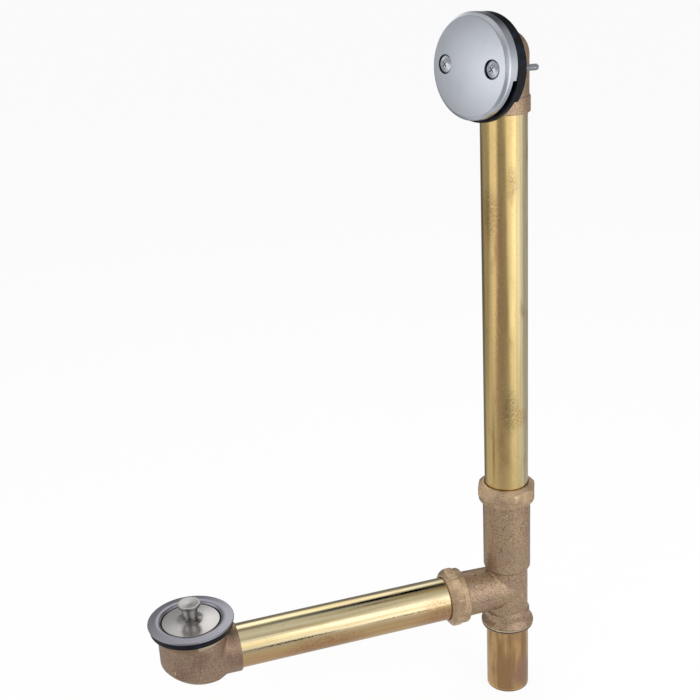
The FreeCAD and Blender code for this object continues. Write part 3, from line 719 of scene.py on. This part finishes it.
class BATH_OT_head(bpy.types.Operator):
    """Finish the face plate and its gasket"""

    bl_idname = "bath_waste.head"
    bl_label = "Face plate and gasket"

    dome: bpy.props.FloatProperty(
        name="Dome", description="Radius of the plate's front", default=430 * MM, unit="LENGTH")
    spacing: bpy.props.FloatProperty(
        name="Dimple spacing", description="Between the screws", default=50.1 * MM, unit="LENGTH")
    dimple: bpy.props.FloatProperty(
        name="Dimple", description="Radius to its edge", default=7.7 * MM, unit="LENGTH")
    steepest: bpy.props.FloatProperty(
        name="Front's slope", description="No face of the front leans more", default=math.radians(9), subtype="ANGLE")

    def execute(self, context):
        """Give the plate its satin nickel and the gasket its rubber."""
        settings = context.scene.bath_nickel
        # Painted shade: the plate goes grey round the screw dimples, where the surface is closed in
        plate = satin_nickel(
            "satin_nickel_plate", settings.plate, settings.roughness + 0.08, 4, (0.2, 0.75), "#6b6d72", (0.0, 0.3),
            ringed=False)
        piece = even_copy("overflow_face_plate", plate)
        self.round_dome(piece.data)
        dress("overflow_gasket", black_rubber(context.scene.bath_rubber))
        return {"FINISHED"}

    def round_dome(self, mesh):
        """Let the plate's front shine as one shallow dome: its corners take the dome's own direction."""
        normals = [corner.vector.copy() for corner in mesh.corner_normals]
        for face in mesh.polygons:
            away = face.center - HEAD_CENTRE
            beside = abs(abs(away.dot(HEAD_RIGHT)) - self.spacing / 2)
            in_dimple = math.hypot(beside, away.dot(HEAD_UP)) < self.dimple
            on_back = away.dot(HEAD_OUT) < -0.2 * MM
            if in_dimple or on_back or face.normal.dot(HEAD_OUT) < math.cos(self.steepest):
                continue
            for corner in face.loop_indices:
                point = mesh.vertices[mesh.loops[corner].vertex_index].co - HEAD_CENTRE
                outward = point - HEAD_OUT * point.dot(HEAD_OUT)
                normals[corner] = (HEAD_OUT + outward / self.dome).normalized()
        mesh.normals_split_custom_set(normals)


class BATH_OT_screws(bpy.types.Operator):
    """Make the two long screws with a cut thread"""

    bl_idname = "bath_waste.screws"
    bl_label = "Face plate screws"

    pitch: bpy.props.FloatProperty(name="Pitch", description="Of the thread", default=1.27 * MM, unit="LENGTH")
    depth: bpy.props.FloatProperty(name="Depth", description="Of the thread", default=0.5 * MM, unit="LENGTH")
    length: bpy.props.FloatProperty(
        name="Threaded length", description="From the tip", default=30.48 * MM, unit="LENGTH")
    tip_share: bpy.props.FloatProperty(name="Tip", description="Its radius, as a share of the thread's", default=0.82)

    def execute(self, context):
        """Cut each solid's plain end off and put a threaded one there."""
        steel = screw_steel(context.scene.bath_nickel)
        for node in ("face_plate_screw_left", "face_plate_screw_right"):
            head = copy_of(node, node + "_threaded")
            points = [point.co - HEAD_CENTRE for point in head.data.vertices]
            depths = [point.dot(HEAD_OUT) for point in points]
            tip = min(depths)
            end = [point for point, depth in zip(points, depths) if depth < tip + 0.5 * MM]
            centre = sum(end, Vector()) / len(end)
            radius = max((point - centre).cross(HEAD_OUT).length for point in end)
            side = centre.dot(HEAD_RIGHT)
            rise = centre.dot(HEAD_UP)
            start = HEAD_CENTRE + HEAD_RIGHT * side + HEAD_UP * rise + HEAD_OUT * (tip + self.length)
            bpy.ops.object.mode_set(mode="EDIT")
            bpy.ops.mesh.select_all(action="SELECT")
            bpy.ops.mesh.bisect(plane_co=start, plane_no=HEAD_OUT, use_fill=True, clear_inner=True)
            bpy.ops.object.mode_set(mode="OBJECT")
            thread = self.thread(start, radius)
            select_only(head, thread)
            bpy.ops.object.join()
            bpy.ops.object.shade_smooth_by_angle(angle=math.radians(38))
            finish_piece(head, node, steel)
        return {"FINISHED"}

    def thread(self, start, radius):
        """A single-start thread: an off-centre circle swept round the screw's axis."""
        turns = round(self.length / self.pitch)
        bpy.ops.object.select_all(action="DESELECT")
        bpy.ops.mesh.primitive_circle_add(
            vertices=20, radius=radius - self.depth / 2, location=(self.depth / 2, 0, 0))
        piece = bpy.context.active_object
        piece.name = "screw_thread"
        bpy.ops.object.transform_apply(location=True, rotation=True, scale=True)
        apply_modifier(
            piece, "SCREW", axis="Z", angle=2 * math.pi * turns, screw_offset=-self.length, steps=10 * turns,
            render_steps=10 * turns)
        select_points(piece, lambda point: point.z < 0.5 * self.pitch - self.length)
        bpy.ops.transform.resize(
            value=(self.tip_share, self.tip_share, 1), center_override=(0, 0, -self.length))
        bpy.ops.mesh.select_all(action="SELECT")
        bpy.ops.mesh.fill_holes(sides=0)
        bpy.ops.mesh.select_all(action="SELECT")
        bpy.ops.mesh.normals_make_consistent(inside=False)
        bpy.ops.object.mode_set(mode="OBJECT")
        axes = Matrix((HEAD_RIGHT, HEAD_UP, HEAD_OUT)).transposed().to_4x4()
        piece.matrix_world = Matrix.Translation(start) @ axes
        bpy.ops.object.transform_apply(location=True, rotation=True, scale=True)
        return piece


class BATH_OT_drain(bpy.types.Operator):
    """Finish the drain flange, its gasket and the washers"""

    bl_idname = "bath_waste.drain"
    bl_label = "Drain flange and gaskets"

    def execute(self, context):
        """Give the flange its satin nickel and the rings their rubber."""
        rubber = black_rubber(context.scene.bath_rubber)
        settings = context.scene.bath_nickel
        # Painted shade: a darker copy of the nickel, and near black in the gap round the cap
        flange = satin_nickel(
            "satin_nickel_flange", settings.flange, settings.roughness + 0.09, 3, (0.15, 0.5), "#1b1b1e", (0.1, 0.4))
        dress("strainer_body", flange)
        for node in ("shoe_gasket", "upper_slip_washer", "side_slip_washer"):
            dress(node, rubber)
        return {"FINISHED"}


class BATH_OT_stopper(bpy.types.Operator):
    """Finish the lift-and-turn stopper and what guides it"""

    bl_idname = "bath_waste.stopper"
    bl_label = "Stopper"

    def execute(self, context):
        """Give the cap and the knob satin nickel, the inner parts brass and the seal rubber."""
        settings = context.scene.bath_nickel
        brass = turned_brass(context.scene.bath_brass)
        # Painted shade: the cap goes dark brown towards the stem and into its gap
        cap = satin_nickel(
            "satin_nickel_cap", settings.stopper, settings.roughness + 0.04, 10, (0.58, 1.0), "#5e564f", (0.1, 0.4))
        # Painted shade: the knob's nickel is a darker copy of the stopper's, and closed-in places go dark brown
        knob = satin_nickel(
            "satin_nickel_knob", [0.72 * part for part in settings.stopper], settings.roughness - 0.1, 8,
            (0.3, 0.92), "#45403a")
        dress("stopper_cap", cap)
        even_copy("stopper_knob", knob)
        for node in ("stopper_sleeve", "stopper_post", "stopper_cross_pin"):
            dress(node, brass)
        dress("stopper_seal", black_rubber(context.scene.bath_rubber))
        return {"FINISHED"}


# ---------------------------------------------------------------- studio


# The tent's cards, in degrees: round from the front towards the right, up, full to and gone at; then how much lighter
CARDS = (
    (34, 6, 23, 27, 0.38),
    (52, 5, 1, 49, 0.48),
    (-62, 4, 3, 34, 0.85),
    (11, 24, 15, 25, 0.4),
    (188, 31, 1, 24, 0.86),
    (-14, 8, 33, 65, -0.26),
    (-122, 14, 36, 47, -0.23),
    (-95, 17, 7, 15, 0.40),
    (183, -20, 18, 42, -0.40),
    (120, 42, 15, 42, -0.25),
    (222, 44, 2, 24, 0.4),
    (185, 58, 2, 22, -0.35),
    (150, 42, 4, 30, -0.3),
    (118, -6, 16, 38, -0.22),
    (-86, 20, 1, 12, 0.49),
    (-77, 46, 7, 23, -0.24),
    (-72, -1, 13, 21, -0.36),
)
CARD_FRONT = Vector((-0.289, -0.957, 0))
CARD_SIDE = Vector((0.957, -0.289, 0))


class BATH_OT_studio(bpy.types.Operator):
    """Set the camera, the lamps, the floor and the grey card tent"""

    bl_idname = "bath_waste.studio"
    bl_label = "Studio"

    def execute(self, context):
        """Build the studio."""
        settings = context.scene.bath_studio
        context.scene.view_settings.view_transform = "Standard"
        self.camera(context, settings)
        self.lamps()
        self.world(context, settings)
        self.floor()
        self.tent(settings)
        return {"FINISHED"}

    def camera(self, context, settings):
        """The photograph's own view."""
        a, p, r = settings.turn, settings.drop, settings.roll
        ahead = Vector((math.sin(a) * math.cos(p), math.cos(a) * math.cos(p), -math.sin(p)))
        level = Vector((math.cos(a), -math.sin(a), 0))
        above = level.cross(ahead)
        right = math.cos(r) * level + math.sin(r) * above
        up = math.cos(r) * above - math.sin(r) * level
        data = bpy.data.cameras.new("camera")
        data.lens = settings.lens
        data.clip_start = 0.01
        camera = bpy.data.objects.new("camera", data)
        context.scene.collection.objects.link(camera)
        axes = Matrix((right, up, -ahead)).transposed().to_4x4()
        camera.matrix_world = Matrix.Translation(Vector(settings.place)) @ axes
        context.scene.camera = camera

    def lamps(self):
        """Two soft boxes and a top light, which show on dull surfaces; metal reflects the tent."""
        aim = Vector((0.16, 0, 0.15))
        for name, place, size, power in (
            ("key", (0.75, -0.95, 0.75), 0.9, 9.0),
            ("fill", (-0.9, -0.55, 0.45), 0.9, 4.0),
            ("top", (0.1, 0.35, 1.25), 1.1, 5.0),
        ):
            bpy.ops.object.select_all(action="DESELECT")
            bpy.ops.object.light_add(type="AREA", location=place)
            lamp = bpy.context.active_object
            lamp.name = name
            lamp.data.size = size
            lamp.data.energy = power
            lamp.rotation_euler = (aim - Vector(place)).to_track_quat("-Z", "Y").to_euler()
            lamp.visible_glossy = False

    def world(self, context, settings):
        """White behind the object and in its metal, and a plain level of light on it."""
        world = bpy.data.worlds.new("studio")
        context.scene.world = world
        world.use_nodes = True
        tree = world.node_tree
        tree.nodes.clear()
        seen = self.seen(tree)
        level = add_node(
            tree, "ShaderNodeMix", {"data_type": "FLOAT", 2: settings.plain, 3: 1.0}, {0: seen}).outputs[0]
        light = add_node(tree, "ShaderNodeBackground", {"Color": rgba(linear("#ffffff"))}, {"Strength": level})
        add_node(tree, "ShaderNodeOutputWorld", {}, {"Surface": light.outputs[0]})

    def seen(self, tree):
        """1 for camera, glossy and transmission rays, else 0."""
        path = add_node(tree, "ShaderNodeLightPath", {})
        first = add_node(
            tree, "ShaderNodeMath", {"operation": "MAXIMUM"},
            {0: path.outputs["Is Camera Ray"], 1: path.outputs["Is Glossy Ray"]}).outputs[0]
        return add_node(
            tree, "ShaderNodeMath", {"operation": "MAXIMUM"},
            {0: first, 1: path.outputs["Is Transmission Ray"]}).outputs[0]

    def floor(self):
        """A plain pale floor under the tube's end, a little below it, that keeps the object's shadow."""
        bpy.ops.object.select_all(action="DESELECT")
        bpy.ops.mesh.primitive_plane_add(size=40, location=(0, 0, FLOOR_Z - 0.2 * MM))
        floor = bpy.context.active_object
        floor.name = "floor"
        material = bpy.data.materials.new("floor_paper")
        material.use_nodes = True
        tree = material.node_tree
        tree.nodes.clear()
        coords = add_node(tree, "ShaderNodeTexCoord", {}).outputs["Object"]
        clouds = add_node(
            tree, "ShaderNodeTexNoise", {"Scale": 1 / (40 * MM), "Detail": 4}, {"Vector": coords}).outputs["Fac"]
        tone = add_node(
            tree, "ShaderNodeMix", {"data_type": "RGBA", 6: rgba(linear("#f4f4f4")), 7: rgba(linear("#f8f8f8"))},
            {0: clouds}).outputs[2]
        paper = add_node(tree, "ShaderNodeBsdfDiffuse", {}, {"Color": tone})
        white = add_node(tree, "ShaderNodeEmission", {"Strength": 1.0})
        seen = self.seen(tree)
        share = add_node(tree, "ShaderNodeMath", {"operation": "MULTIPLY", 1: 0.9}, {0: seen}).outputs[0]
        both = add_node(tree, "ShaderNodeMixShader", {}, {0: share, 1: paper.outputs[0], 2: white.outputs[0]})
        add_node(tree, "ShaderNodeOutputMaterial", {}, {"Surface": both.outputs[0]})
        floor.data.materials.append(material)

    def tent(self, settings):
        """A grey card tent with soft boxes let into it: metal takes its light and dark bands from it."""
        centre = Vector((0.16, 0, 0.17))
        bpy.ops.object.select_all(action="DESELECT")
        bpy.ops.mesh.primitive_uv_sphere_add(segments=64, ring_count=32, radius=0.85, location=centre)
        tent = bpy.context.active_object
        tent.name = "card_tent"
        bpy.ops.object.transform_apply(location=True, rotation=True, scale=True)
        select_points(tent, lambda point: point.z < FLOOR_Z + 4 * MM)
        bpy.ops.transform.resize(value=(1, 1, 0), center_override=(0, 0, FLOOR_Z + 2 * MM))
        bpy.ops.object.mode_set(mode="OBJECT")
        tent.visible_camera = False
        tent.visible_diffuse = False
        tent.visible_shadow = False
        material = bpy.data.materials.new("grey_card")
        material.use_nodes = True
        material.cycles.emission_sampling = "NONE"
        tree = material.node_tree
        tree.nodes.clear()
        coords = add_node(tree, "ShaderNodeTexCoord", {}).outputs["Object"]
        place = add_node(tree, "ShaderNodeVectorMath", {"operation": "SUBTRACT", 1: centre}, {0: coords}).outputs[0]
        way = add_node(tree, "ShaderNodeVectorMath", {"operation": "NORMALIZE"}, {0: place}).outputs[0]
        fixed, linked = {2: settings.tent}, {}
        for azimuth, height, inner, outer, level in CARDS:
            a, h = math.radians(azimuth), math.radians(height)
            level_way = CARD_FRONT * math.cos(a) + CARD_SIDE * math.sin(a)
            aim = level_way * math.cos(h) + Vector((0, 0, math.sin(h)))
            near = add_node(
                tree, "ShaderNodeVectorMath", {"operation": "DOT_PRODUCT", 1: aim}, {0: way}).outputs["Value"]
            patch = add_node(
                tree, "ShaderNodeMapRange",
                {**SOFT, "From Min": math.cos(math.radians(outer)), "From Max": math.cos(math.radians(inner))},
                {"Value": near}).outputs[0]
            tone = add_node(
                tree, "ShaderNodeMath", {"operation": "MULTIPLY_ADD", 1: level, **fixed},
                {0: patch, **linked}).outputs[0]
            fixed, linked = {}, {2: tone}
        card = add_node(tree, "ShaderNodeEmission", {}, {"Strength": tone})
        add_node(tree, "ShaderNodeOutputMaterial", {}, {"Surface": card.outputs[0]})
        tent.data.materials.append(material)


class BATH_PT_panel(bpy.types.Panel):
    """The pieces of the bath waste"""

    bl_idname = "BATH_PT_panel"
    bl_label = "Bath waste"
    bl_space_type = "VIEW_3D"
    bl_region_type = "UI"
    bl_category = "Bath waste"

    def draw(self, context):
        """List the settings and the operators."""
        layout = self.layout
        for name in GROUPS:
            settings = getattr(context.scene, name)
            for prop in settings.bl_rna.properties:
                if prop.identifier not in ("rna_type", "name"):
                    layout.prop(settings, prop.identifier)
        for operator in STEPS:
            layout.operator(operator.bl_idname)


GROUPS = {
    "bath_bronze": BronzeSettings,
    "bath_brass": BrassSettings,
    "bath_nickel": NickelSettings,
    "bath_rubber": RubberSettings,
    "bath_studio": StudioSettings,
}
STEPS = (
    BATH_OT_studio, BATH_OT_castings, BATH_OT_tubes, BATH_OT_head, BATH_OT_screws, BATH_OT_drain, BATH_OT_stopper)


def register():
    """Register the classes and their settings on the scene."""
    for item in (*GROUPS.values(), *STEPS, BATH_PT_panel):
        bpy.utils.register_class(item)
    for name, group in GROUPS.items():
        setattr(bpy.types.Scene, name, bpy.props.PointerProperty(type=group))


def unregister():
    """Take the settings and the classes away again."""
    for name in GROUPS:
        delattr(bpy.types.Scene, name)
    for item in (BATH_PT_panel, *reversed(STEPS), *reversed(GROUPS.values())):
        bpy.utils.unregister_class(item)


def main():
    """Build everything in order."""
    register()
    bpy.ops.bath_waste.studio()
    bpy.ops.bath_waste.castings()
    bpy.ops.bath_waste.tubes()
    bpy.ops.bath_waste.head()
    bpy.ops.bath_waste.screws()
    bpy.ops.bath_waste.drain()
    bpy.ops.bath_waste.stopper()
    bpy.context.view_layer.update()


if __name__ == "__main__":
    main()
